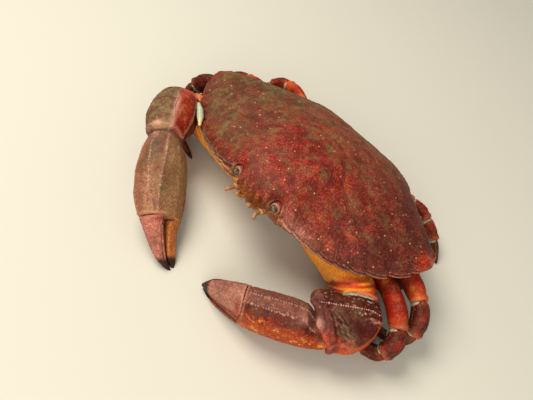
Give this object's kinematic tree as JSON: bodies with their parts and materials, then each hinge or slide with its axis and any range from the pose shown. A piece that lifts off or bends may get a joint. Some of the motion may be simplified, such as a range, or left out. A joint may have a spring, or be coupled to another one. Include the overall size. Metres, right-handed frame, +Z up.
{
  "type": "crab",
  "caption": "Life-size still model of a red rock crab at rest, its claws closed in front of it and its legs folded at its sides.",
  "frame": {"origin": "on the floor, under the middle of the box round the whole crab", "axes": "+Z up; -Y the way the crab faces; +X towards the crab's left"},
  "size_m": [0.1868, 0.1312, 0.0508],
  "materials": {
    "shell": "satin, finely granular, brick red to maroon with a crimson centre",
    "underside": "satin, cream yellow",
    "eyestalk": "satin, pale pink",
    "eye": "glossy, dark olive grey",
    "feeler": "satin, pale pink",
    "arm_base": "satin, orange turning red",
    "arm_wrist": "satin, finely granular, maroon",
    "claw": "satin, granular, dusty mauve with an orange lower side and dark tips",
    "leg": "satin, scarlet to dark red",
    "leg_tip": "satin, dark red"
  },
  "bodies": {
    "root": {"abdomen": "underside", "antenna_left": "feeler", "antenna_right": "feeler", "antennule_left": "feeler", "antennule_right": "feeler", "arm_carpus_left": "arm_wrist", "arm_carpus_right": "arm_wrist", "arm_merus_left": "arm_base", "arm_merus_right": "arm_base", "carapace": "shell", "eye_left": "eye", "eye_right": "eye", "eyestalk_left": "eyestalk", "eyestalk_right": "eyestalk", "finger_left": "claw", "finger_right": "claw", "leg_1_carpus_left": "leg", "leg_1_carpus_right": "leg", "leg_1_dactyl_left": "leg_tip", "leg_1_dactyl_right": "leg_tip", "leg_1_merus_left": "leg", "leg_1_merus_right": "leg", "leg_1_propodus_left": "leg", "leg_1_propodus_right": "leg", "leg_2_carpus_left": "leg", "leg_2_carpus_right": "leg", "leg_2_dactyl_left": "leg_tip", "leg_2_dactyl_right": "leg_tip", "leg_2_merus_left": "leg", "leg_2_merus_right": "leg", "leg_2_propodus_left": "leg", "leg_2_propodus_right": "leg", "leg_3_carpus_left": "leg", "leg_3_carpus_right": "leg", "leg_3_dactyl_left": "leg_tip", "leg_3_dactyl_right": "leg_tip", "leg_3_merus_left": "leg", "leg_3_merus_right": "leg", "leg_3_propodus_left": "leg", "leg_3_propodus_right": "leg", "leg_4_carpus_left": "leg", "leg_4_carpus_right": "leg", "leg_4_dactyl_left": "leg_tip", "leg_4_dactyl_right": "leg_tip", "leg_4_merus_left": "leg", "leg_4_merus_right": "leg", "leg_4_propodus_left": "leg", "leg_4_propodus_right": "leg", "mouth_plate_left": "underside", "mouth_plate_right": "underside", "palm_left": "claw", "palm_right": "claw", "thorax": "underside"}
  },
  "joints": []
}
